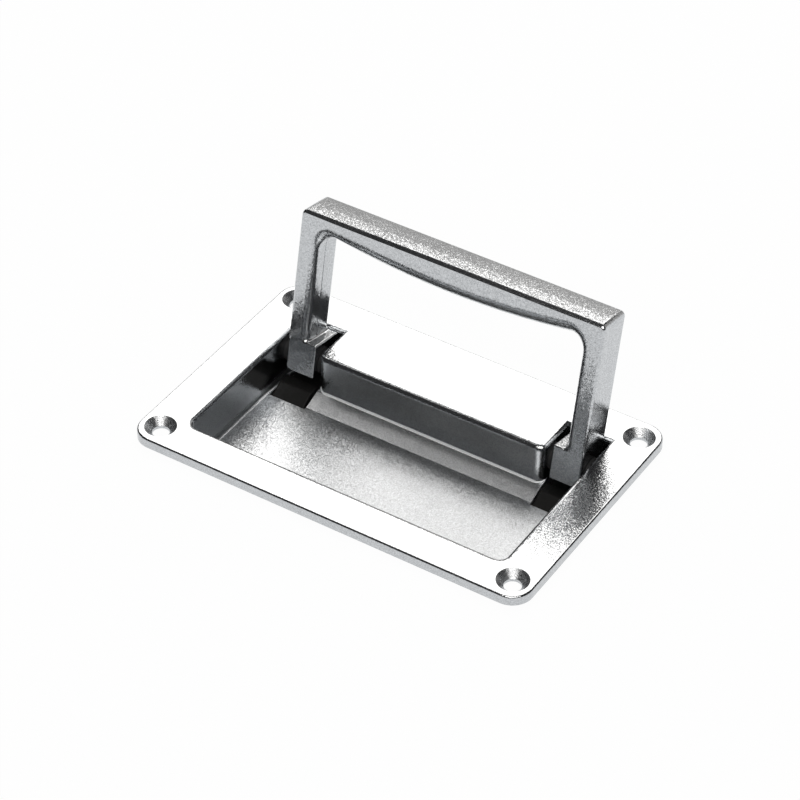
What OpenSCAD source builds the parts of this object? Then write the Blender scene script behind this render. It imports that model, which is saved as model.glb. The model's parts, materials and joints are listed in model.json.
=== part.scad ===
// Folding handle in a flush tray. A U-shaped bail swings on two pins and folds into the recess.
// The origin is the centre of the screw pattern, on the back face of the flange.
// +X runs along the long side, -Y is the side that the bail folds to, +Z leaves the panel.

/* [Flange] */
// Length of the flange
flange_l = 140; // [138:1:180]
// Width of the flange
flange_w = 90; // [88:1:120]
// Thickness of the flange
flange_t = 3.3; // [2.9:0.1:5]
// Radius of the flange corners
flange_corner_r = 7; // [4:0.5:10]
// Rounding of the upper outer edge of the flange
flange_edge_r = 0.7; // [0.3:0.1:1.2]

/* [Screw holes] */
// Hole spacing along the flange
hole_pitch_x = 126; // [124:1:128]
// Hole spacing across the flange
hole_pitch_y = 75; // [73:1:77]
// Diameter of the screw holes
hole_d = 5.5; // [4.8:0.1:6]
// Diameter of the countersink at the face
countersink_d = 10.2; // [8:0.1:11]

/* [Recess] */
// Inside length of the recess
recess_l = 112.5; // [112:0.5:114]
// Inside width of the recess
recess_w = 63.6; // [62:0.2:65]
// How far the recess sits ahead of the centre of the screw pattern
recess_shift = 0.3; // [0:0.1:1]
// Depth of the recess below the face of the flange
recess_depth = 16.4; // [15.6:0.2:20]
// Radius of the two front corners of the recess
recess_corner_r = 3; // [2:0.5:5]
// Rounding of the rim where the recess meets the flange
rim_r = 1.6; // [1:0.1:2]
// Fillet at the foot of the recess walls
floor_fillet_r = 1; // [0.5:0.1:1.2]
// Thickness of the recess walls
wall_t = 2.4; // [2:0.1:4]
// Thickness of the recess floor
floor_t = 2.2; // [1.8:0.1:4]
// Rounding of the lower outer edge of the casting
base_edge_r = 1; // [0.5:0.1:1.5]

/* [Land and slots] */
// Length of the raised land between the leg pockets
land_l = 83; // [80:0.5:84]
// Width of the land, from its front wall to the rear wall
land_w = 14.9; // [12:0.1:17]
// Radius of the two front corners of the land
land_corner_r = 3; // [2.2:0.2:4]
// Length of the ramp in front of the land
ramp_l = 6.7; // [4:0.1:7.5]
// Height of the ramp where it meets the land
ramp_h = 2.3; // [1:0.1:3.5]
// Length of the slot in the floor of each pocket
slot_l = 18.6; // [16:0.2:20]
// Distance from the front of the slot to the front wall of the land
slot_lead = 7.7; // [6.6:0.1:9]
// Floor left between the slot and the side wall
slot_ledge = 1.3; // [1.2:0.1:2]

/* [Bail] */
// Length of the bail over its legs
bail_l = 108; // [106:0.5:110]
// Height of the bail from the sole of its feet to the top of the grip
bail_h = 57.4; // [50:0.2:58]
// Thickness of the bail from front to back
bail_t = 13.3; // [12.6:0.1:13.8]
// Width of each leg
leg_w = 6.7; // [5:0.1:9]
// Width of each foot
foot_w = 10.5; // [9.5:0.1:11]
// Height of each foot at its inner edge
foot_h = 12; // [10:0.1:14]
// Fillet between the top of each foot and its leg
foot_fillet_r = 1; // [0.8:0.1:2]
// Height of the grip where it meets the legs
grip_end_h = 7.1; // [5.5:0.1:9]
// Height of the grip in its middle
grip_mid_h = 11.2; // [9:0.1:14]
// Radius of the inner corners between the grip and the legs
inner_corner_r = 4.5; // [3.5:0.5:8]
// Radius of the upper outer corners
outer_corner_r = 1.8; // [1.6:0.1:4]
// Rounding of the inner edges that the fingers touch
inner_edge_r = 2.4; // [1:0.1:3]
// Rounding of the lower edges of the grip
grip_edge_r = 5.4; // [3.2:0.1:6]
// Rounding of the outer edges
outer_edge_r = 0.8; // [0.4:0.1:1.4]
// Rounding of the edges at the top of each foot
foot_edge_r = 0.6; // [0.3:0.1:0.9]
// Rounding of the heel, which passes close to the rear wall
heel_r = 2.5; // [2:0.1:3]

/* [Hinge] */
// Diameter of the pivot pins
pin_d = 4; // [3:0.1:5]
// Chamfer on the ends of the pins
pin_chamfer = 0.4; // [0.2:0.1:0.8]
// Radial running clearance of the feet on the pins
pin_clearance = 0.05; // [0.02:0.01:0.1]
// Height of the pivot above the sole of the foot
pivot_up = 4.3; // [4:0.1:4.8]
// Distance of the pivot behind the front face of the bail
pivot_in = 6.2; // [5.5:0.1:6.6]
// How far the open bail leans back past upright
lean = 11.5; // [10:0.5:14]
// How far the open leg reaches behind the rear wall at the level of the flange face
leg_overhang = 0.8; // [0.5:0.1:1.1]
// Gap left where the open bail rests on the rear wall
stop_gap = 0.2; // [0.1:0.05:0.4]
// How far the folded bail lies below the face of the flange
flush_drop = 0.3; // [0.1:0.1:0.8]
// Diameter of the spacer washers
washer_d = 8.6; // [7:0.1:9]
// Gap between a washer and the foot beside it
washer_gap = 0.1; // [0.05:0.05:0.3]

/* [Buffers] */
// How far the base of a buffer lies below the recess floor
buffer_sunk = 0.6; // [0.2:0.1:1]
// Gap between the top of a buffer and the folded leg
buffer_gap = 0.2; // [0.1:0.05:0.5]
// Length of the flat top of a buffer
buffer_top_l = 4; // [2:0.1:5]
// Distance from the back of a buffer's top to the pivot
buffer_lead = 5.8; // [5.4:0.1:7]
// How far the raised part of a buffer keeps inside the slot
buffer_inset = 0.8; // [0.4:0.1:1.5]

/* [Hidden] */
$fn = 96;
// Overrun of the cuts
cut = 0.5;

face_z = flange_t;
floor_z = face_z - recess_depth;
base_z = floor_z - floor_t;
recess_x = recess_l / 2;
rear_y = recess_w / 2 - recess_shift;
front_y = rear_y - recess_w;
casing_corner_r = recess_corner_r + wall_t / 2;
land_x = land_l / 2;
land_y = rear_y - land_w;
slot_y = land_y - slot_lead;
slot_w = recess_x - land_x - slot_ledge;
countersink_depth = (countersink_d - hole_d) / 2;

leg_x = bail_l / 2 - leg_w;
foot_x = bail_l / 2 - foot_w;
foot_fillet_x = leg_x - foot_fillet_r;
foot_fillet_u = foot_h + foot_fillet_r;
back_in = bail_t - pivot_in;

// The folded bail lies flush, and the open one leans on the rear wall: both place the pivot
pivot_z = face_z - flush_drop - back_in;
leg_back_run = back_in / cos(lean) + (face_z - pivot_z) * tan(lean);
pivot_y = rear_y + leg_overhang - leg_back_run;

// The arc of the belly under the grip, and the round beside it that touches the leg and the arc
grip_sag = grip_mid_h - grip_end_h;
grip_r = (leg_x * leg_x + grip_sag * grip_sag) / (2 * grip_sag);
grip_u = bail_h - grip_mid_h + grip_r;
corner_x = leg_x - inner_corner_r;
corner_u = grip_u - sqrt(pow(grip_r + inner_corner_r, 2) - corner_x * corner_x);
under_u = corner_u + inner_corner_r;

buffer_top_z = pivot_z - pivot_in - buffer_gap;

// Copies its children to the other side of the part
module to_left() {
    mirror([1, 0, 0]) children();
}

module both_sides() {
    children();
    to_left() children();
}

// A flat outline with four round corners
module round_rect(l, w, r) {
    square([l - 2 * r, w], center = true);
    square([l, w - 2 * r], center = true);
    for (x = [-1, 1], y = [-1, 1])
        translate([x * (l / 2 - r), y * (w / 2 - r)]) circle(r);
}

// A flat outline from Y = 0 to Y = w, with its two front corners round
module front_round(l, w, r) {
    translate([-l / 2, r]) square([l, w - r]);
    translate([r - l / 2, 0]) square([l - 2 * r, w]);
    for (x = [-1, 1])
        translate([x * (l / 2 - r), r]) circle(r);
}

// What is cut away to round an edge: the wall lies along Y under the origin, the face beyond it
module cove(r) {
    difference() {
        translate([-cut, -r]) square([r + cut, r + cut]);
        translate([r, -r]) circle(r);
    }
}

// The same for an edge whose material lies on the other side of the wall
module outer_cove(r) {
    mirror([1, 0]) cove(r);
}

// Carries a profile along +Y, with the profile's x towards +X and its y up
module run(length) {
    translate([0, length, 0]) rotate([90, 0, 0]) linear_extrude(length) children();
}

// Carries a profile round a corner of the given radius, from +X through an angle
module turn(r, angle = 90) {
    rotate_extrude(angle = angle) translate([r, 0]) children();
}

// Carries a profile round all four sides of a rounded rectangle
module frame(l, w, r) {
    for (quarter = [0:3]) {
        a = quarter % 2 == 0 ? l : w;
        b = quarter % 2 == 0 ? w : l;
        rotate(90 * quarter) {
            translate([a / 2, r - b / 2, 0]) run(b - 2 * r) children();
            translate([a / 2 - r, b / 2 - r, 0]) turn(r) children();
        }
    }
}

// Where two walls of the recess meet in a sharp corner, their rounded rims meet in a mitre
module rim_mitre() {
    reach = rim_r + cut;
    intersection() {
        run(reach) cove(rim_r);
        translate([reach, 0, 0]) rotate(90) run(reach) cove(rim_r);
    }
}

module recess_outline() {
    difference() {
        translate([0, front_y]) front_round(recess_l, recess_w, recess_corner_r);
        translate([0, land_y]) front_round(land_l, land_w + cut, land_corner_r);
    }
}

// Carries a profile along the side and front walls of the recess
module wall_path() {
    corner_x = recess_x - recess_corner_r;
    corner_y = front_y + recess_corner_r;
    both_sides() {
        translate([recess_x, corner_y, 0]) run(rear_y - corner_y) children();
        translate([corner_x, corner_y, 0]) rotate(-90) turn(recess_corner_r) children();
    }
    translate([-corner_x, front_y, 0]) rotate(-90) run(2 * corner_x) children();
}

// The cut that rounds the rim of the recess all the way round
module rim_rounding() {
    straight_x = land_x - land_corner_r;
    wall_path() cove(rim_r);
    both_sides() {
        translate([recess_x, rear_y, 0]) rotate(90) run(recess_x - land_x) cove(rim_r);
        translate([recess_x, rear_y, 0]) rim_mitre();
        translate([land_x, rear_y, 0]) to_left() rim_mitre();
        translate([land_x, rear_y, 0]) rotate(180) run(land_w - land_corner_r) cove(rim_r);
        translate([straight_x, land_y + land_corner_r, 0]) rotate(-90)
            turn(land_corner_r) outer_cove(rim_r);
    }
    translate([straight_x, land_y, 0]) rotate(90) run(2 * straight_x) cove(rim_r);
}

module flange() {
    difference() {
        linear_extrude(flange_t) round_rect(flange_l, flange_w, flange_corner_r);
        translate([0, 0, face_z])
            frame(flange_l, flange_w, flange_corner_r) outer_cove(flange_edge_r);
    }
}

// The casting around the recess, under the flange
module casing() {
    l = recess_l + 2 * wall_t;
    w = recess_w + 2 * wall_t;
    translate([0, -recess_shift, 0]) difference() {
        translate([0, 0, base_z]) linear_extrude(face_z / 2 - base_z)
            round_rect(l, w, casing_corner_r);
        translate([0, 0, base_z]) frame(l, w, casing_corner_r)
            mirror([0, 1]) outer_cove(base_edge_r);
    }
}

// The low ramp in front of the land, which rises on past its round corners
module ramp() {
    full_l = ramp_l + land_corner_r;
    translate([-land_x, land_y - ramp_l, floor_z]) rotate([90, 0, 90]) linear_extrude(land_l)
        polygon([[0, 0], [0, -cut], [full_l, -cut], [full_l, full_l * ramp_h / ramp_l]]);
}

module screw_hole() {
    translate([0, 0, -cut]) cylinder(d = hole_d, h = flange_t + 2 * cut);
    translate([0, 0, face_z - countersink_depth])
        cylinder(d1 = hole_d, d2 = countersink_d + 2 * cut, h = countersink_depth + cut);
}

// The land is cast hollow, open at its underside
module land_hollow() {
    translate([wall_t - land_x, land_y + wall_t, base_z - cut])
        cube([land_l - 2 * wall_t, land_w - wall_t, cut - base_z]);
}

module tray() color("silver") {
    difference() {
        union() {
            difference() {
                union() {
                    flange();
                    casing();
                }
                translate([0, 0, floor_z]) linear_extrude(recess_depth + cut) recess_outline();
                translate([0, 0, face_z]) rim_rounding();
            }
            ramp();
            translate([0, 0, floor_z]) wall_path() rotate(180) cove(floor_fillet_r);
        }
        for (x = [-1, 1], y = [-1, 1])
            translate([x * hole_pitch_x / 2, y * hole_pitch_y / 2, 0]) screw_hole();
        both_sides() {
            translate([land_x, slot_y, base_z - cut]) cube([slot_w, slot_l, floor_t + 2 * cut]);
            translate([land_x - wall_t - cut, pivot_y, pivot_z]) rotate([0, 90, 0])
                cylinder(d = pin_d, h = recess_x - land_x + 2 * (wall_t + cut));
        }
        land_hollow();
    }
}

// The outline of the bail without its belly, in X and the height above the sole
module bail_outline() {
    difference() {
        translate([0, bail_h]) mirror([0, 1]) front_round(bail_l, bail_h, outer_corner_r);
        translate([-foot_x, -cut]) square([2 * foot_x, foot_fillet_u + cut]);
        translate([0, foot_h]) front_round(2 * leg_x, 2 * foot_fillet_r, foot_fillet_r);
        translate([0, under_u]) mirror([0, 1])
            front_round(2 * leg_x, under_u - foot_fillet_u, inner_corner_r);
    }
}

// What rounds the edges of one face of the bail, with that face at height zero
module bail_edges(sole_r) {
    side_x = bail_l / 2;
    round_x = side_x - outer_corner_r;
    round_u = bail_h - outer_corner_r;
    both_sides() {
        translate([side_x, -cut, 0]) run(round_u + cut) outer_cove(outer_edge_r);
        translate([round_x, round_u, 0]) turn(outer_corner_r) outer_cove(outer_edge_r);
        translate([foot_x - cut, foot_h, 0]) rotate(-90)
            run(foot_fillet_x - foot_x + cut) cove(foot_edge_r);
        translate([foot_fillet_x, foot_fillet_u, 0])
            turn(foot_fillet_r, -90) cove(foot_edge_r);
        translate([leg_x, foot_fillet_u, 0]) run(corner_u - foot_fillet_u) cove(inner_edge_r);
        translate([corner_x, corner_u, 0]) turn(inner_corner_r) cove(inner_edge_r);
    }
    translate([corner_x, under_u, 0]) rotate(90) run(2 * corner_x) cove(inner_edge_r);
    translate([round_x, bail_h, 0]) rotate(90) run(2 * round_x) outer_cove(outer_edge_r);
    translate([-side_x - cut, 0, 0]) rotate(-90) run(2 * (side_x + cut)) outer_cove(sole_r);
}

// The belly under the grip, bent to its arc, with both its lower edges round
module grip_belly() {
    low_u = bail_h - grip_mid_h - cut;
    high_u = bail_h - outer_corner_r;
    half_turn = asin((corner_x + inner_corner_r / 2) / grip_r);
    intersection() {
        translate([0, grip_u, 0]) rotate(-90 - half_turn)
            rotate_extrude(angle = 2 * half_turn, $fn = 720)
            translate([grip_r, bail_t / 2]) rotate(90)
            front_round(bail_t, grip_mid_h, grip_edge_r);
        translate([-leg_x, low_u, -cut]) cube([2 * leg_x, high_u - low_u, bail_t + 2 * cut]);
    }
}

// The bail lying on its back: X, the height above the sole, and the thickness
module flat_bail() {
    difference() {
        linear_extrude(bail_t) bail_outline();
        translate([0, 0, bail_t]) bail_edges(outer_edge_r);
        mirror([0, 0, 1]) bail_edges(heel_r);
    }
    grip_belly();
}

// The cut that lets the open bail stand flat against the rear wall and clear of its rim
module stop_cut() {
    clear_r = rim_r + stop_gap;
    rim_y = rear_y + rim_r;
    bend_z = face_z - rim_r + clear_r * tan(45 / 2);
    translate([-recess_x, 0, 0]) rotate([90, 0, 90]) linear_extrude(recess_l)
        polygon([
            [rim_y - clear_r, base_z],
            [rim_y - clear_r, bend_z],
            [rim_y, bend_z + clear_r],
            [rim_y + bail_t, bend_z + clear_r],
            [rim_y + bail_t, base_z],
        ]);
}

module bail() color("gainsboro") {
    difference() {
        translate([0, pivot_y, pivot_z]) rotate([-lean, 0, 0]) difference() {
            translate([0, back_in, -pivot_up]) rotate([90, 0, 0]) flat_bail();
            translate([-recess_x, 0, 0]) rotate([0, 90, 0])
                cylinder(d = pin_d + 2 * pin_clearance, h = recess_l);
        }
        stop_cut();
    }
}

// A pivot pin, flush with the faces of the two walls that hold it
module pin() color("gray") {
    l = recess_x - land_x + 2 * wall_t;
    tip_d = pin_d - 2 * pin_chamfer;
    translate([land_x - wall_t, pivot_y, pivot_z]) rotate([0, 90, 0]) {
        cylinder(d1 = tip_d, d2 = pin_d, h = pin_chamfer);
        translate([0, 0, pin_chamfer]) cylinder(d = pin_d, h = l - 2 * pin_chamfer);
        translate([0, 0, l - pin_chamfer]) cylinder(d1 = pin_d, d2 = tip_d, h = pin_chamfer);
    }
}

// A spacer washer on the pin, from x to x + t
module washer(x, t) color("#26282a") {
    translate([x, pivot_y, pivot_z]) rotate([0, 90, 0]) difference() {
        cylinder(d = washer_d, h = t);
        translate([0, 0, -cut]) cylinder(d = pin_d + 2 * pin_clearance, h = t + 2 * cut);
    }
}

module outer_washer() {
    foot_side_x = bail_l / 2 + washer_gap;
    washer(foot_side_x, recess_x - foot_side_x);
}

module inner_washer() {
    washer(land_x, foot_x - washer_gap - land_x);
}

// A rubber buffer: a base that closes the slot and a raised part that the folded leg lies on
module buffer() color("#1b1c1e") {
    top_y = pivot_y - buffer_lead;
    low_z = floor_z - buffer_sunk;
    translate([land_x, slot_y, base_z]) cube([slot_w, slot_l, low_z - base_z]);
    translate([land_x + buffer_inset, 0, 0]) rotate([90, 0, 90])
        linear_extrude(slot_w - 2 * buffer_inset)
        polygon([
            [slot_y, low_z],
            [slot_y, base_z],
            [top_y, base_z],
            [top_y, buffer_top_z],
            [top_y - buffer_top_l, buffer_top_z],
        ]);
}

tray();
bail();
to_left() pin();  // pin_left
pin();  // pin_right
to_left() outer_washer();  // washer_left_outer
to_left() inner_washer();  // washer_left_inner
inner_washer();  // washer_right_inner
outer_washer();  // washer_right_outer
to_left() buffer();  // buffer_left
buffer();  // buffer_right
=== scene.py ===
"""Finishes, detail and a small studio for a folding handle in a flush tray."""

import json
import math

import bpy
from mathutils import Matrix, Vector


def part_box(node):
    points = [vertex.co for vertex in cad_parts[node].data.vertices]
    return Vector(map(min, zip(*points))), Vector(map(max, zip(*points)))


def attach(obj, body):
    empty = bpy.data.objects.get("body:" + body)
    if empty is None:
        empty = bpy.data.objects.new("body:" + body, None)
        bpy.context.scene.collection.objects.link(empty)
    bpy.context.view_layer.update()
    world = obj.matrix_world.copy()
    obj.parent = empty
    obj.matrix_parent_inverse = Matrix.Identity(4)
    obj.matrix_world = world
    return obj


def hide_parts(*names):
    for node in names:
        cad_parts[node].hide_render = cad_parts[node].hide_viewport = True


bl_info = {
    "name": "Flush Folding Handle",
    "version": (1, 0, 0),
    "blender": (4, 5, 0),
    "location": "3D View > Sidebar > Handle",
    "description": "Shapes and finishes the folding handle and sets up its studio",
    "category": "Object",
}

MM = 0.001
MIDDLE = (0.3, 0.7)  # most values of a noise lie between these
CUT_HALF = 60 * MM  # half the length of what is cut out of the bail
BEYOND = 20 * MM  # how far that reaches past the metal

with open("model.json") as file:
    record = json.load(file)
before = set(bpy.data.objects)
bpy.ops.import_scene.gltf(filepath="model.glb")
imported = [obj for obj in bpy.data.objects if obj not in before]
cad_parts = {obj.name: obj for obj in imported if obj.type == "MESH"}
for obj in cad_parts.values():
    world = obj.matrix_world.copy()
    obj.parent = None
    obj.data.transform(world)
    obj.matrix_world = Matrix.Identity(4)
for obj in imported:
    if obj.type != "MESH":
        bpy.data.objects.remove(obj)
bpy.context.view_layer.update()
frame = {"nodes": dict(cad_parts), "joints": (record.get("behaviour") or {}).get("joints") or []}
NODES = frame["nodes"]
HINGE = Vector(frame["joints"][0]["pos_m"])


# ---------------------------------------------------------------- settings


def length(name, description, default_mm):
    """A size of the handle, given in millimetres and kept in metres"""
    return bpy.props.FloatProperty(name=name, description=description, default=default_mm * MM,
                                   min=0, precision=5, step=0.01, unit="LENGTH")


def share(name, description, default):
    """A plain number from nothing to one"""
    return bpy.props.FloatProperty(name=name, description=description, default=default,
                                   min=0, max=1)


def angle(name, description, degrees):
    """An angle, given in degrees"""
    return bpy.props.FloatProperty(name=name, description=description, subtype="ANGLE",
                                   default=math.radians(degrees))


def color(name, description, default):
    """A colour with its alpha"""
    return bpy.props.FloatVectorProperty(name=name, description=description, size=4, min=0, max=1,
                                         subtype="COLOR", default=(*default, 1))


class BailShape(bpy.types.PropertyGroup):
    """Sizes of the bail: across, up from the sole of its feet, and back from its front face"""

    half_width: length("Half width", "From the middle to the outer side of a leg", 54)
    height: length("Height", "From the sole of the feet to the top of the grip", 57.4)
    thickness: length("Thickness", "From the front face to the back face", 13.3)
    leg_inside: length("Inside of a leg", "From the middle to the inner side of a leg", 47.3)
    foot_inside: length("Inside of a foot", "From the middle to the inner side of a foot", 43.5)
    foot_top: length("Top of a foot", "Height of the top of each foot", 12)
    foot_fillet: length("Foot fillet", "Fillet between a foot and its leg", 1)
    grip_middle: length("Underside, middle", "Height of the underside in the middle", 46.2)
    grip_end: length("Underside, end", "Height of the underside's arc at the legs", 50.3)
    inner_corner: length("Inner corner", "Radius between a leg and the grip", 4.5)
    outer_corner: length("Outer corner", "Radius of the upper outer corners", 1.8)
    outer_edge: length("Outer edge", "Rounding of the outer edges", 0.9)
    top_edge: length("Top edge", "Width of the flattened edge along the front of the top", 1.0)
    top_flat: share("Top edge, flat", "From a rounding to a flat bevel", 0.8)
    leg_edge_front: length("Leg edge, front", "Rounding of a leg's inner front edge", 2.3)
    leg_edge_back: length("Leg edge, back", "Rounding of a leg's inner back edge", 1.8)
    grip_edge: length("Grip edge", "Rounding of the grip's lower edges", 5.4)
    foot_edge: length("Foot edge", "Rounding of the edges of a foot", 0.45)
    foot_nose: length("Foot nose", "Radius of the inner corners of a foot", 0.6)
    sole_corner: length("Sole corner", "Radius of the outer lower corner of a foot", 1)
    heel: length("Heel", "Rounding of the heel", 2.5)
    bore: length("Bore", "Diameter of the pin bore", 4.1)
    pivot_up: length("Pivot height", "From the sole to the pivot", 4.3)
    pivot_in: length("Pivot depth", "From the front face to the pivot", 6.2)
    lean: angle("Lean", "How far the open bail leans back", 11.5)
    crown: length("Crown", "How far the edges of the top face drop", 0.22)
    parting_in: length("Parting line", "From the front face to the parting line", 5.7)
    parting_depth: length("Parting groove", "Depth of the parting line", 0.12)
    parting_half: length("Parting half width", "Half the width of the parting line", 0.22)
    draft: angle("Draft", "Draft of the inner sides, from the parting line", 1.2)
    stop_wall: length("Stop", "From the middle of the screws to the wall behind the feet", 31.3)
    stop_rim: length("Stop rim", "From the face of the flange to the bend of that wall", 1.6)
    stop_bend: length("Stop bend", "Size of the bend at the top of that wall", 1.8)


class TrayDetail(bpy.types.PropertyGroup):
    """Small forms that the cast tray carries"""

    land_half: length("Land half length", "From the middle to the end of the land", 41.5)
    land_corner: length("Land corner", "Radius of the land's front corners", 3)
    land_front: length("Land front", "From the middle of the screws to the land's front wall", 16.6)
    ramp_low: length("Ramp foot", "Where the ramp starts, from the middle of the screws", 9.9)
    floor_depth: length("Floor", "Depth of the recess floor below the back of the flange", 13.1)
    ramp_rise: length("Ramp rise", "Height of the ramp at the land", 2.3)
    fillet: length("Land fillet", "Fillet between the ramp and the land", 0.75)
    screw_x: length("Screws, across", "From the middle to a screw hole along the flange", 63)
    screw_y: length("Screws, up", "From the middle to a screw hole across the flange", 37.5)
    sink_radius: length("Countersink", "Radius of a countersink at the face", 5.2)
    sink_depth: length("Countersink depth", "How deep a countersink is", 2.5)
    buffer_edge: length("Buffer edge", "Rounding of the edges of the buffers", 0.25)


class HandleFinish(bpy.types.PropertyGroup):
    """Colours and surfaces"""

    plating: color("Plating", "Colour of the plated castings", (0.52, 0.535, 0.55))
    tray_rough: share("Tray roughness", "Mean roughness of the tray's plating", 0.15)
    recess_rough: share("Recess roughness", "Mean roughness on the floor of the recess", 0.31)
    bail_rough: share("Bail roughness", "Mean roughness of the bail's plating", 0.18)
    tray_crystals: length("Tray crystals", "Width of the crystals in the tray's skin", 0.21)
    recess_crystals: length("Recess crystals", "Width of the crystals in the recess", 0.26)
    tray_grain: share("Tray grain", "How far the crystals of the tray lean", 0.07)
    recess_grain: share("Recess grain", "How far the crystals of the recess lean", 0.1)
    tray_peel: length("Tray orange peel", "Depth of the soft dimples in the tray's skin", 0.015)
    bail_crystals: length("Bail crystals", "Width of the crystals in the bail's skin", 0.3)
    bail_grain: share("Bail grain", "How far the crystals of the bail lean", 0.055)
    bail_peel: length("Bail orange peel", "Depth of the soft dimples in the bail's skin", 0.006)
    peel_size: length("Dimples", "Distance between the soft dimples under the plating", 3)
    speckle: share("Speckle", "How much lighter or darker single crystals are", 0.2)
    steel: color("Steel", "Colour of the pins", (0.46, 0.46, 0.47))
    nylon: color("Nylon", "Colour of the washers", (0.012, 0.012, 0.013))
    rubber: color("Rubber", "Colour of the buffers", (0.006, 0.006, 0.006))


class HandleStudio(bpy.types.PropertyGroup):
    """Camera, lamps and floor"""

    lens: bpy.props.FloatProperty(name="Lens", description="Focal length on a 36 mm sensor",
                                  subtype="DISTANCE_CAMERA", default=134.398)
    azimuth: angle("Azimuth", "Turn of the camera from the front to the right", 32.445)
    elevation: angle("Elevation", "Height of the camera as an angle", 40.051)
    roll: angle("Roll", "Roll of the camera", 0.282)
    distance: length("Distance", "From the camera to the point that it looks at", 914.464)
    aim: bpy.props.FloatVectorProperty(name="Aim", description="What the camera looks at",
                                       subtype="TRANSLATION",
                                       default=(-3.2594 * MM, 5.3196 * MM, 10.7206 * MM))
    floor: color("Floor", "Colour of the floor", (0.96, 0.98, 1.0))
    floor_glow: share("Floor white", "Share of the floor that is white by itself", 0.96)
    floor_half: length("Floor half size", "From the middle of the floor to its edge", 6000)
    floor_drop: length("Floor drop", "How far the floor lies below the flange", 0.05)
    cutout_x: length("Cut-out, along", "Half the length of the cut-out in the floor", 59.4)
    cutout_y: length("Cut-out, across", "Half the width of the cut-out in the floor", 35.4)
    lamp: color("Lamps", "Colour of the lamps", (1, 0.972, 0.94))
    world: color("Room", "Colour of the dim room around the lamps", (0.035, 0.035, 0.036))


# ---------------------------------------------------------------- materials


def new_material(name, **sockets):
    """A material with one Principled shader whose plain values are set on its own sockets"""
    material = bpy.data.materials.new(name)
    material.use_nodes = True
    shader = material.node_tree.nodes["Principled BSDF"]
    for socket, value in sockets.items():
        shader.inputs[socket.replace("_", " ")].default_value = value
    return material, material.node_tree, shader


def noise(tree, size, detail=2.0, stretch=(1, 1, 1)):
    """Noise in object space whose features lie about size metres apart"""
    place = tree.nodes.new("ShaderNodeTexCoord")
    mapping = tree.nodes.new("ShaderNodeMapping")
    mapping.inputs["Scale"].default_value = [s / size for s in stretch]
    texture = tree.nodes.new("ShaderNodeTexNoise")
    texture.inputs["Scale"].default_value = 1.0
    texture.inputs["Detail"].default_value = detail
    tree.links.new(place.outputs["Object"], mapping.inputs["Vector"])
    tree.links.new(mapping.outputs["Vector"], texture.inputs["Vector"])
    return texture.outputs["Fac"]


def remap(tree, value, from_range, to_range):
    """A value carried from one range to another, and clamped"""
    node = tree.nodes.new("ShaderNodeMapRange")
    node.inputs["From Min"].default_value, node.inputs["From Max"].default_value = from_range
    node.inputs["To Min"].default_value, node.inputs["To Max"].default_value = to_range
    tree.links.new(value, node.inputs["Value"])
    return node.outputs["Result"]


def bump(tree, height, depth):
    """Bump of the given depth in metres"""
    node = tree.nodes.new("ShaderNodeBump")
    node.inputs["Distance"].default_value = depth
    tree.links.new(height, node.inputs["Height"])
    return node.outputs["Normal"]


def tint(tree, mask, low, high):
    """A colour that a mask carries from low to high"""
    node = tree.nodes.new("ShaderNodeMix")
    node.data_type = "RGBA"
    node.inputs["A"].default_value = low
    node.inputs["B"].default_value = high
    tree.links.new(mask, node.inputs["Factor"])
    return node.outputs["Result"]


def shade(color, factor):
    """A colour made darker or lighter"""
    return [min(1.0, c * factor) for c in color[:3]] + [1.0]


def depth_mask(tree, high, low):
    """One below the lower height in object space, nothing above the higher one"""
    place = tree.nodes.new("ShaderNodeTexCoord")
    parts = tree.nodes.new("ShaderNodeSeparateXYZ")
    tree.links.new(place.outputs["Object"], parts.inputs["Vector"])
    return remap(tree, parts.outputs["Z"], (high, low), (0, 1))


def blend_value(tree, mask, low, high):
    """A value that a mask carries from one value to another"""
    node = tree.nodes.new("ShaderNodeMix")
    for socket, value in (("Factor", mask), ("A", low), ("B", high)):
        tree.links.new(value, node.inputs[socket])
    return node.outputs["Result"]


def crystals(tree, density, lean, below):
    """Tiny facets in the cast skin, each leaning its own way, and a chance value for each"""
    place = tree.nodes.new("ShaderNodeTexCoord")
    cells = tree.nodes.new("ShaderNodeTexVoronoi")
    tree.links.new(density, cells.inputs["Scale"])
    tree.links.new(place.outputs["Object"], cells.inputs["Vector"])
    steps = []
    for operation in ("SUBTRACT", "SCALE", "ADD", "NORMALIZE"):
        steps.append(tree.nodes.new("ShaderNodeVectorMath"))
        steps[-1].operation = operation
    steps[0].inputs[1].default_value = (0.5, 0.5, 0.5)
    tree.links.new(lean, steps[1].inputs["Scale"])
    tree.links.new(below, steps[2].inputs[1])
    tree.links.new(cells.outputs["Color"], steps[0].inputs[0])
    for before, after in zip(steps, steps[1:]):
        tree.links.new(before.outputs["Vector"], after.inputs[0])
    chance = tree.nodes.new("ShaderNodeSeparateXYZ")
    tree.links.new(cells.outputs["Color"], chance.inputs["Vector"])
    return steps[-1].outputs["Vector"], chance.outputs["X"]


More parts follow.
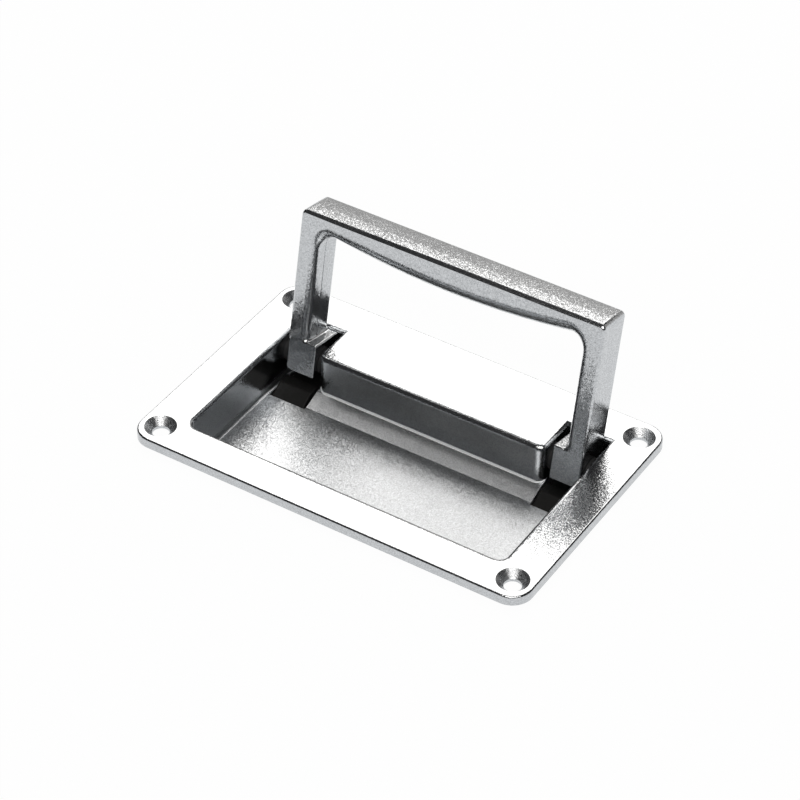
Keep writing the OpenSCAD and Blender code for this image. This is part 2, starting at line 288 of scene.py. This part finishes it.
def plated_zinc(name, finish, size, lean, peel, rough):
    """Bright plating over a die casting: tiny crystals over soft orange peel. Size, lean
    and roughness each hold two values, for the skin and for the floor of the recess"""
    material, tree, shader = new_material(name, Metallic=1.0)
    cloud_size, uneven = 14 * MM, 0.08
    skin_ends, floor_starts = -9.5 * MM, -11.5 * MM
    cloud = noise(tree, cloud_size)
    low = depth_mask(tree, skin_ends, floor_starts)
    worn = [remap(tree, cloud, MIDDLE, (r * (1 - uneven), r * (1 + uneven))) for r in rough]
    tree.links.new(blend_value(tree, low, *worn), shader.inputs["Roughness"])
    soft = bump(tree, noise(tree, finish.peel_size, 1.0), peel)
    tilt = remap(tree, low, (0, 1), (2 * lean[0], 2 * lean[1]))
    density = remap(tree, low, (0, 1), (1 / size[0], 1 / size[1]))
    facets, chance = crystals(tree, density, tilt, soft)
    tree.links.new(facets, shader.inputs["Normal"])
    speckle = tint(tree, chance, shade(finish.plating, 1 - finish.speckle),
                   shade(finish.plating, 1 + finish.speckle))
    tree.links.new(speckle, shader.inputs["Base Color"])
    return material


def painted_highlight_plating(name, finish):
    """Painted highlight: the plating made pale, soft and partly diffuse, so that the land fillet
    shows as a bright line
    """
    material, tree, shader = new_material(name, Metallic=0.3)
    marks = noise(tree, 0.5 * MM)
    tree.links.new(remap(tree, marks, MIDDLE, (0.3, 0.45)), shader.inputs["Roughness"])
    tree.links.new(tint(tree, marks, shade(finish.plating, 1.5), shade(finish.plating, 1.85)),
                   shader.inputs["Base Color"])
    tree.links.new(bump(tree, marks, 0.05 * MM), shader.inputs["Normal"])
    return material


def turned_plating(name, finish):
    """The countersinks: the same plating over fine turning marks round each screw hole"""
    material, tree, shader = new_material(name, Metallic=1.0)
    marks = noise(tree, 0.35 * MM, stretch=(0.35, 0.35, 1.6))
    tree.links.new(remap(tree, marks, MIDDLE, (0.22, 0.4)), shader.inputs["Roughness"])
    tree.links.new(tint(tree, marks, shade(finish.plating, 0.9), shade(finish.plating, 1.1)),
                   shader.inputs["Base Color"])
    tree.links.new(bump(tree, marks, 0.13 * MM), shader.inputs["Normal"])
    return material


def dress(obj, *materials):
    """Gives a piece its materials, the first one on every face"""
    obj.data.materials.clear()
    for material in materials:
        obj.data.materials.append(material)


# ---------------------------------------------------------------- mesh tools


def new_piece(name, points, faces):
    """A mesh object from points and faces"""
    mesh = bpy.data.meshes.new(name)
    mesh.from_pydata([tuple(p) for p in points], [], faces)
    mesh.validate()
    piece = bpy.data.objects.new(name, mesh)
    bpy.context.scene.collection.objects.link(piece)
    return piece


def shade_smooth(piece, degrees=32):
    """Smooth faces with sharp edges where they meet at more than an angle"""
    mesh = piece.data
    mesh.polygons.foreach_set("use_smooth", [True] * len(mesh.polygons))
    mesh.set_sharp_from_angle(angle=math.radians(degrees))
    even = piece.modifiers.new("even_shading", "WEIGHTED_NORMAL")
    even.keep_sharp = True
    even.weight = 80


def arc(center, radius, start, end, steps):
    """Points on an arc between two angles in degrees, both ends with it"""
    turns = [math.radians(start + (end - start) * k / steps) for k in range(steps + 1)]
    return [(center[0] + radius * math.cos(t), center[1] + radius * math.sin(t)) for t in turns]


def prism(name, outline, half):
    """A solid that carries an outline in Y and Z from -half to half along X"""
    n = len(outline)
    points = [(side * half, y, z) for side in (-1, 1) for y, z in outline]
    faces = [tuple(range(n)), tuple(reversed(range(n, 2 * n)))]
    faces += [(k, k + n, (k + 1) % n + n, (k + 1) % n) for k in range(n)]
    return new_piece(name, points, faces)


def cut_away(piece, cutter):
    """Cuts one solid out of another for good"""
    cut = piece.modifiers.new("cut", "BOOLEAN")
    cut.operation, cut.solver, cut.object = "DIFFERENCE", "EXACT", cutter
    view = bpy.context.evaluated_depsgraph_get()
    mesh = bpy.data.meshes.new_from_object(piece.evaluated_get(view))
    if not mesh.polygons:
        raise RuntimeError(f"nothing of {piece.name} is left after the cut with {cutter.name}")
    piece.modifiers.clear()
    piece.data = mesh
    bpy.data.objects.remove(cutter)


# ---------------------------------------------------------------- the bail


class Station:
    """A point of the bail's outline with the rounding of its front and back edges"""

    def __init__(self, point, front, back, draft=0.0, crown=0.0):
        self.point, self.front, self.back = Vector(point), front, back
        self.draft, self.crown = draft, crown


def spread(start, end, steps):
    """Points on a straight line between two points, both ends left out"""
    a, b = Vector(start), Vector(end)
    return [a.lerp(b, k / steps) for k in range(1, steps)]


def ease(t):
    """A smooth step from nothing to one"""
    return t * t * (3 - 2 * t)


def blend(low, high, t):
    """A number that lies a share t of the way from low to high"""
    return low + (high - low) * t


def grip_underside(b):
    """Stations from the middle of the underside round the inner corner, and where that ends"""
    corner_steps = 14
    sag = b.grip_end - b.grip_middle
    radius = (b.leg_inside ** 2 + sag ** 2) / (2 * sag)
    middle_u = b.grip_middle + radius
    corner_x = b.leg_inside - b.inner_corner
    corner_u = middle_u - math.sqrt((radius + b.inner_corner) ** 2 - corner_x ** 2)
    touch = math.degrees(math.atan2(middle_u - corner_u, -corner_x))
    tip_x = corner_x + b.inner_corner * math.cos(math.radians(touch))
    half_turn = math.degrees(math.asin(tip_x / radius))
    stations = [Station(p, b.grip_edge, b.grip_edge)
                for p in arc((0, middle_u), radius, -90, -90 + half_turn, 24)]
    corner = arc((corner_x, corner_u), b.inner_corner, touch, 0, corner_steps)
    for k, p in enumerate(corner[1:], 1):
        t = ease(k / corner_steps)
        stations.append(Station(p, blend(b.grip_edge, b.leg_edge_front, t),
                                blend(b.grip_edge, b.leg_edge_back, t), draft=t))
    return stations, corner_u


def leg_and_foot(b, leg_top):
    """Stations down the inner side of the leg and round the foot to its sole"""
    fillet_steps = 8
    leg_ends, fillet_x = b.foot_top + b.foot_fillet, b.leg_inside - b.foot_fillet
    path = spread((b.leg_inside, leg_top), (b.leg_inside, leg_ends), 16)
    path.append((b.leg_inside, leg_ends))
    stations = [Station(p, b.leg_edge_front, b.leg_edge_back, draft=1) for p in path]
    fillet = arc((fillet_x, leg_ends), b.foot_fillet, 0, -90, fillet_steps)
    for k, p in enumerate(fillet[1:], 1):
        t = ease(k / fillet_steps)
        stations.append(Station(p, blend(b.leg_edge_front, b.foot_edge, t),
                                blend(b.leg_edge_back, b.foot_edge, t), draft=1 - t))
    inner, nose = b.foot_inside, b.foot_nose
    path = spread((fillet_x, b.foot_top), (inner + nose, b.foot_top), 4)
    path += arc((inner + nose, b.foot_top - nose), nose, 90, 180, 5)
    path += spread((inner, b.foot_top - nose), (inner, nose), 6)
    path += arc((inner + nose, nose), nose, 180, 270, 5)
    path += spread((inner + nose, 0), (b.half_width - b.sole_corner, 0), 4)
    return stations + [Station(p, b.foot_edge, b.foot_edge) for p in path]


def side_and_top(b):
    """Stations up the outer side of the leg and along the top to its middle"""
    corner_steps, change_steps = 8, 4
    outer, low, top_u = b.half_width, b.sole_corner, b.height - b.outer_corner
    path = arc((outer - low, low), low, -90, 0, 5) + spread((outer, low), (outer, top_u), 20)
    stations = [Station(p, b.outer_edge, b.outer_edge) for p in path]
    corner = arc((outer - b.outer_corner, top_u), b.outer_corner, 0, 90, corner_steps)
    stations += [Station(p, b.outer_edge, b.outer_edge, crown=k / corner_steps)
                 for k, p in enumerate(corner)]
    top = spread((outer - b.outer_corner, b.height), (0, b.height), 20)
    for k, p in enumerate([*top, (0, b.height)]):
        front = blend(b.outer_edge, b.top_edge, ease(min(1, k / change_steps)))
        stations.append(Station(p, front, b.outer_edge, crown=1))
    return stations


def right_half(b):
    """Stations of the right half of the bail, from the middle of its underside to its top"""
    underside, leg_top = grip_underside(b)
    return underside + leg_and_foot(b, leg_top) + side_and_top(b)


def mirrored(station):
    """The same station on the other side of the bail"""
    x, u = station.point
    return Station((-x, u), station.front, station.back, station.draft, station.crown)


def section(b, station):
    """How far the surface lies inside the outline, and how far back, from front to back"""
    t, steps, apart = b.thickness, 7, 0.02 * MM
    quarter = [math.radians(90 * k / steps) for k in range(steps + 1)]
    flat = [(math.sin(a) + math.cos(a)) ** (b.top_flat * station.crown) for a in quarter]
    row = [(station.front * (1 - math.sin(a) / f), station.front * (1 - math.cos(a) / f))
           for a, f in zip(quarter, flat)]
    first, last = station.front, t - station.back
    line, groove = b.parting_in, b.parting_half
    for v in (blend(first, line - groove, 0.4), line - groove, line, line + groove,
              blend(line, last, 0.4), blend(line, last, 0.75)):
        v = min(max(v, first + apart), last - apart)
        row.append((b.parting_depth * station.draft if v == line else 0.0, v))
    row += [(station.back * (1 - math.sin(a)), t - station.back * (1 - math.cos(a)))
            for a in reversed(quarter)]
    middle = t / 2
    return [(d + station.draft * math.tan(b.draft) * abs(v - line)
             + station.crown * b.crown * ((v - middle) / middle) ** 2, v) for d, v in row]


def inward(stations):
    """Unit vectors from each station into the metal"""
    found = []
    n = len(stations)
    for k in range(n):
        before = stations[k].point - stations[k - 1].point
        after = stations[(k + 1) % n].point - stations[k].point
        along = before.normalized() + after.normalized()
        found.append(Vector((-along.y, along.x)).normalized())
    return found


def to_world(b, x, u, v):
    """A point of the bail in the shared frame: the open bail leans back about its pivot"""
    y, z = v - b.pivot_in, u - b.pivot_up
    c, s = math.cos(b.lean), math.sin(b.lean)
    return Vector((x, HINGE.y + y * c + z * s, HINGE.z - y * s + z * c))


def bail_solid(b):
    """The whole bail as one closed mesh, before its bore and its stop are cut"""
    half = right_half(b)
    stations = half + [mirrored(s) for s in reversed(half[1:-1])]
    ways = inward(stations)
    rows = [section(b, s) for s in stations]
    n, m = len(stations), len(rows[0])
    points = []
    for s, way, row in zip(stations, ways, rows):
        for d, v in row:
            flat = s.point + way * d
            points.append(to_world(b, flat.x, flat.y, v))
    faces = []
    for k in range(n):
        a, c = k * m, (k + 1) % n * m
        faces += [(a + j, c + j, c + j + 1, a + j + 1) for j in range(m - 1)]
    faces.append(tuple(k * m for k in reversed(range(n))))
    faces.append(tuple(k * m + m - 1 for k in range(n)))
    return new_piece("bail_casting", points, faces)


def stop_solid(b):
    """What the tray takes from the back of the feet, so that the open bail stands on its wall"""
    bottom, face = (corner.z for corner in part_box("tray"))
    y, bend_turn = b.stop_wall, math.radians(45)
    z = face - b.stop_rim + b.stop_bend * math.tan(bend_turn / 2)
    outline = [(y, bottom - BEYOND), (y, z), (y + b.stop_bend, z + b.stop_bend),
               (y + BEYOND, z + b.stop_bend), (y + BEYOND, bottom - BEYOND)]
    return prism("stop", outline, CUT_HALF)


def heel_solid(b):
    """What rounds the heel of the feet"""
    t, r, over = b.thickness, b.heel, 2 * MM
    round_points = arc((t - r, r), r, -90, 0, 12)
    outline = [*round_points, (t + over, r), (t + over, -over), (t - r, -over)]
    world = [to_world(b, 0, u, v) for v, u in outline]
    return prism("heel", [(p.y, p.z) for p in world], CUT_HALF)


def bore_solid(b):
    """The bore for the pins"""
    sides = 48
    ring = arc((HINGE.y, HINGE.z), b.bore / 2, 0, 360 - 360 / sides, sides - 1)
    return prism("bore", ring, CUT_HALF)


class HANDLE_OT_bail(bpy.types.Operator):
    """Shape and dress the bail"""

    bl_idname = "handle.bail"
    bl_label = "Bail"

    def execute(self, context):
        b = context.scene.bail_shape
        bail = bail_solid(b)
        for cutter in (heel_solid(b), bore_solid(b), stop_solid(b)):
            cut_away(bail, cutter)
        shade_smooth(bail)
        finish = context.scene.handle_finish
        size, lean, rough = finish.bail_crystals, finish.bail_grain, finish.bail_rough
        dress(bail, plated_zinc("bail_plating", finish, (size, size), (lean, lean),
                                finish.bail_peel, (rough, rough)))
        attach(bail, "bail")
        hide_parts("bail")
        return {"FINISHED"}


# ---------------------------------------------------------------- the tray and what it holds


def land_fillet(t):
    """The small fillet between the ramp and the land, along the wall and part of each corner"""
    wall_steps, bend_steps, bend_turn, thinner, steps, sunk = 12, 7, 10, 0.12, 8, 0.2 * MM
    slope = t.ramp_rise / (t.land_front - t.ramp_low)
    straight = t.land_half - t.land_corner
    stations = [((x, t.land_front), (0, -1), 1.0)
                for x in [straight * k / wall_steps for k in range(-wall_steps, wall_steps + 1)]]
    bends = []
    for k in range(1, bend_steps + 1):
        a = math.radians(-90 + bend_turn * k)
        out = (math.cos(a), math.sin(a))
        place = (straight + t.land_corner * out[0],
                 t.land_front + t.land_corner * (1 + out[1]))
        bends.append((place, out, 1 - thinner * k))
    left = [((-p[0], p[1]), (-o[0], o[1]), s) for p, o, s in reversed(bends)]
    points, faces = [], []
    for (x, y), out, size in left + stations + bends:
        fall = slope * -out[1]
        tilt = math.atan(fall)
        open_angle = math.pi / 2 + tilt
        r = t.fillet * size
        reach = r / math.tan(open_angle / 2)
        foot = -t.floor_depth + slope * (y - t.ramp_low)
        center = (r, foot + reach)
        start, end = math.pi, 1.5 * math.pi - tilt
        for k in range(steps + 1):
            a = start + (end - start) * k / steps
            d, z = center[0] + r * math.cos(a), center[1] + r * math.sin(a)
            points.append((x + out[0] * d, y + out[1] * d, z))
        points.append((x - out[0] * sunk, y - out[1] * sunk, foot - sunk))
    m = steps + 2
    rows = len(points) // m
    for k in range(rows - 1):
        a, c = k * m, (k + 1) * m
        faces += [(a + j, a + (j + 1) % m, c + (j + 1) % m, c + j) for j in range(m)]
    faces.append(tuple(reversed(range(m))))
    faces.append(tuple(range((rows - 1) * m, rows * m)))
    return new_piece("land_fillet", points, faces)


def mark_countersinks(tray, t):
    """Gives the cones of the screw holes the second material"""
    face_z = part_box("tray")[1].z
    for face in tray.data.polygons:
        x, y, z = face.center
        far = math.hypot(abs(x) - t.screw_x, abs(y) - t.screw_y)
        slanted = 0.3 < abs(face.normal.z) < 0.9
        if far < t.sink_radius and slanted and z > face_z - t.sink_depth:
            face.material_index = 1


class HANDLE_OT_tray(bpy.types.Operator):
    """Dress the cast tray and add its small fillet"""

    bl_idname = "handle.tray"
    bl_label = "Tray"

    def execute(self, context):
        finish, detail = context.scene.handle_finish, context.scene.tray_detail
        plating = plated_zinc("tray_plating", finish,
                              (finish.tray_crystals, finish.recess_crystals),
                              (finish.tray_grain, finish.recess_grain), finish.tray_peel,
                              (finish.tray_rough, finish.recess_rough))
        dress(NODES["tray"], plating, turned_plating("countersink_plating", finish))
        mark_countersinks(NODES["tray"], detail)
        fillet = land_fillet(detail)
        shade_smooth(fillet, 40)
        # the fillet carries a painted highlight: a pale, partly diffuse plating that reads as a
        # bright line along the foot of the land
        dress(fillet, painted_highlight_plating("painted_highlight_plating", finish))
        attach(fillet, "tray")
        return {"FINISHED"}


class HANDLE_OT_pivots(bpy.types.Operator):
    """Dress the pivot pins and the spacer washers"""

    bl_idname = "handle.pivots"
    bl_label = "Pins and washers"

    def execute(self, context):
        finish = context.scene.handle_finish
        steel, tree, shader = new_material("pin_steel", Metallic=1.0, Base_Color=finish.steel)
        lines = noise(tree, 0.3 * MM, stretch=(0.2, 1, 1))
        tree.links.new(remap(tree, lines, MIDDLE, (0.22, 0.4)), shader.inputs["Roughness"])
        tree.links.new(bump(tree, lines, 0.01 * MM), shader.inputs["Normal"])
        nylon, tree, shader = new_material("washer_nylon", Base_Color=finish.nylon)
        cloud = noise(tree, 0.8 * MM, 3.0)
        tree.links.new(remap(tree, cloud, MIDDLE, (0.5, 0.7)), shader.inputs["Roughness"])
        tree.links.new(bump(tree, cloud, 0.03 * MM), shader.inputs["Normal"])
        for name, node in NODES.items():
            if name.startswith("pin_"):
                dress(node, steel)
            if name.startswith("washer_"):
                dress(node, nylon)
        return {"FINISHED"}


class HANDLE_OT_buffers(bpy.types.Operator):
    """Dress the rubber buffers under the folded legs"""

    bl_idname = "handle.buffers"
    bl_label = "Buffers"

    def execute(self, context):
        finish = context.scene.handle_finish
        rubber, tree, shader = new_material("buffer_rubber", Base_Color=finish.rubber,
                                            Specular_IOR_Level=0.25)
        cloud = noise(tree, 0.9 * MM, 3.0)
        tree.links.new(remap(tree, cloud, MIDDLE, (0.4, 0.65)), shader.inputs["Roughness"])
        tree.links.new(bump(tree, cloud, 0.04 * MM), shader.inputs["Normal"])
        for name in ("buffer_left", "buffer_right"):
            node = NODES[name]
            dress(node, rubber)
            weld = node.modifiers.new("weld", "WELD")
            weld.merge_threshold = 0.001 * MM
            soft = node.modifiers.new("soft_edges", "BEVEL")
            soft.width = context.scene.tray_detail.buffer_edge
            soft.segments, soft.limit_method = 3, "ANGLE"
        return {"FINISHED"}


# ---------------------------------------------------------------- studio


def view_axes(studio):
    """Right, up and back of the camera"""
    a, e, r = studio.azimuth, studio.elevation, studio.roll
    back = Vector((math.sin(a) * math.cos(e), -math.cos(a) * math.cos(e), math.sin(e)))
    right = Vector((math.cos(a), math.sin(a), 0))
    up = back.cross(right)
    return (right * math.cos(r) + up * math.sin(r), up * math.cos(r) - right * math.sin(r), back)


def add_camera(studio):
    """The camera on its stand, turned towards the handle"""
    right, up, back = view_axes(studio)
    data = bpy.data.cameras.new("camera")
    data.sensor_width = 36
    data.lens = studio.lens
    data.clip_start, data.clip_end = 0.05, 20
    camera = bpy.data.objects.new("camera", data)
    bpy.context.scene.collection.objects.link(camera)
    place = Vector(studio.aim) + back * studio.distance
    turn = Matrix((right, up, back)).transposed().to_4x4()
    camera.matrix_world = Matrix.Translation(place) @ turn
    bpy.context.scene.camera = camera


def add_softbox(name, azimuth, elevation, distance, size, radiance, tone):
    """A flat lamp that faces the handle. Azimuth 0 is behind it; radiance 1 reflects as white"""
    data = bpy.data.lights.new(name, "AREA")
    data.shape = "RECTANGLE"
    data.size, data.size_y = size
    data.energy = radiance * math.pi * size[0] * size[1]
    data.color = tone
    lamp = bpy.data.objects.new(name, data)
    bpy.context.scene.collection.objects.link(lamp)
    a, e = math.radians(azimuth), math.radians(elevation)
    away = Vector((math.sin(a) * math.cos(e), math.cos(a) * math.cos(e), math.sin(e)))
    lamp.location = away * distance
    lamp.rotation_euler = away.to_track_quat("Z", "Y").to_euler()


def white_floor(studio):
    """A white floor that keeps the shadow of the handle"""
    material, tree, shader = new_material("studio_floor", Base_Color=studio.floor, Roughness=0.9)
    paper = noise(tree, 2 * MM, 3.0)
    tree.links.new(bump(tree, paper, 0.02 * MM), shader.inputs["Normal"])
    glow = tree.nodes.new("ShaderNodeEmission")
    glow.inputs["Strength"].default_value = 1.0
    rays = tree.nodes.new("ShaderNodeLightPath")
    total = rays.outputs["Is Camera Ray"]
    for ray in ("Is Glossy Ray", "Is Transmission Ray"):
        either = tree.nodes.new("ShaderNodeMath")
        either.operation = "MAXIMUM"
        tree.links.new(total, either.inputs[0])
        tree.links.new(rays.outputs[ray], either.inputs[1])
        total = either.outputs[0]
    part = tree.nodes.new("ShaderNodeMath")
    part.operation = "MULTIPLY"
    part.inputs[1].default_value = studio.floor_glow
    tree.links.new(total, part.inputs[0])
    mix = tree.nodes.new("ShaderNodeMixShader")
    tree.links.new(part.outputs[0], mix.inputs["Fac"])
    tree.links.new(shader.outputs["BSDF"], mix.inputs[1])
    tree.links.new(glow.outputs["Emission"], mix.inputs[2])
    tree.links.new(mix.outputs["Shader"], tree.nodes["Material Output"].inputs["Surface"])
    return material


def add_floor(studio):
    """The floor is a panel: the flange lies on it and the casting drops through its cut-out"""
    points = [(sx * half_x, sy * half_y, -studio.floor_drop)
              for half_x, half_y in ((studio.floor_half, studio.floor_half),
                                     (studio.cutout_x, studio.cutout_y))
              for sx, sy in ((-1, -1), (1, -1), (1, 1), (-1, 1))]
    faces = [(k, (k + 1) % 4, (k + 1) % 4 + 4, k + 4) for k in range(4)]
    floor = new_piece("floor", points, faces)
    dress(floor, white_floor(studio))


def set_world(studio):
    """The dim room that the metal mirrors between the lamps"""
    world = bpy.data.worlds.new("studio")
    world.use_nodes = True
    world.node_tree.nodes["Background"].inputs["Color"].default_value = studio.world
    bpy.context.scene.world = world


# Each lamp's azimuth and elevation in degrees, distance and size in metres, and radiance
LAMPS = {
    "key_softbox": (-31, 46.5, 1.4, (1.3, 1.16), 2.7),
    "front_softbox": (150, 52, 1.4, (1.2, 1.0), 3.0),
    "side_softbox": (-72, 67, 1.4, (0.5, 0.5), 0.36),
    "back_panel": (-2, 12, 1.6, (3.0, 0.75), 0.5),
}


class HANDLE_OT_studio(bpy.types.Operator):
    """Set up the camera, the lamps and the white floor"""

    bl_idname = "handle.studio"
    bl_label = "Studio"

    def execute(self, context):
        studio = context.scene.handle_studio
        add_camera(studio)
        for name, (azimuth, elevation, distance, size, radiance) in LAMPS.items():
            add_softbox(name, azimuth, elevation, distance, size, radiance, studio.lamp[:3])
        add_floor(studio)
        set_world(studio)
        context.scene.view_settings.view_transform = "Standard"
        return {"FINISHED"}


class HANDLE_PT_panel(bpy.types.Panel):
    """Steps that dress the handle"""

    bl_idname = "HANDLE_PT_panel"
    bl_label = "Flush Folding Handle"
    bl_space_type = "VIEW_3D"
    bl_region_type = "UI"
    bl_category = "Handle"

    def draw(self, context):
        for step in STEPS:
            self.layout.operator(step.bl_idname)
        for group in GROUPS:
            box = self.layout.box()
            values = getattr(context.scene, group)
            for name in values.__annotations__:
                box.prop(values, name)


GROUPS = {
    "bail_shape": BailShape,
    "tray_detail": TrayDetail,
    "handle_finish": HandleFinish,
    "handle_studio": HandleStudio,
}
STEPS = (HANDLE_OT_tray, HANDLE_OT_bail, HANDLE_OT_pivots, HANDLE_OT_buffers, HANDLE_OT_studio)


def register():
    for cls in (*GROUPS.values(), *STEPS, HANDLE_PT_panel):
        bpy.utils.register_class(cls)
    for name, cls in GROUPS.items():
        setattr(bpy.types.Scene, name, bpy.props.PointerProperty(type=cls))


def unregister():
    for name in GROUPS:
        delattr(bpy.types.Scene, name)
    for cls in (HANDLE_PT_panel, *STEPS, *GROUPS.values()):
        bpy.utils.unregister_class(cls)


def main():
    register()
    bpy.ops.handle.tray()
    bpy.ops.handle.bail()
    bpy.ops.handle.pivots()
    bpy.ops.handle.buffers()
    bpy.ops.handle.studio()


if __name__ == "__main__":
    main()
